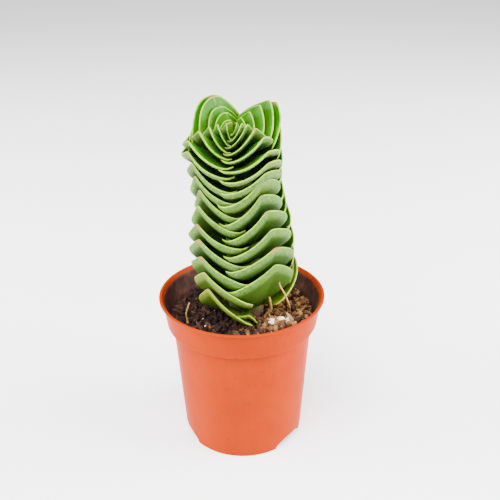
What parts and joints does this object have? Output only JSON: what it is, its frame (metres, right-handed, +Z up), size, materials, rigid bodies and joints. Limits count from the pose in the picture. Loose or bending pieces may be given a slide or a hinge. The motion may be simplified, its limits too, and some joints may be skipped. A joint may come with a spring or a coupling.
{
  "type": "potted stacked-leaf crassula",
  "caption": "Column of folded, tightly stacked succulent leaves on a short stem, standing in potting mix in a small round orange plastic nursery pot with a banded rim and a notched foot.",
  "frame": {"origin": "centre of the pot's foot, on the plane it stands on", "axes": "+Z up along the pot's axis; -Y is the front, where two ranks of leaves meet; +X is the plant's right seen from the front"},
  "size_m": [0.055, 0.055, 0.1171],
  "materials": {
    "pot": "satin",
    "potting_mix": "rough, crumbly peat and bark, matt",
    "leafy_stem": "smooth fleshy leaf, satin inside and mealy outside",
    "perlite": "rough white mineral grain, matt",
    "straw": "dry plant fibre, matt"
  },
  "bodies": {
    "root": {"pot": "pot", "potting_mix": "potting_mix", "leafy_stem": "leafy_stem", "perlite_grain_1": "perlite", "perlite_grain_2": "perlite", "perlite_grain_3": "perlite", "perlite_grain_4": "perlite", "perlite_grain_5": "perlite", "straw_stub": "straw", "straw_stalk": "straw", "root_fibre": "straw", "wood_splinter": "straw"}
  },
  "joints": []
}
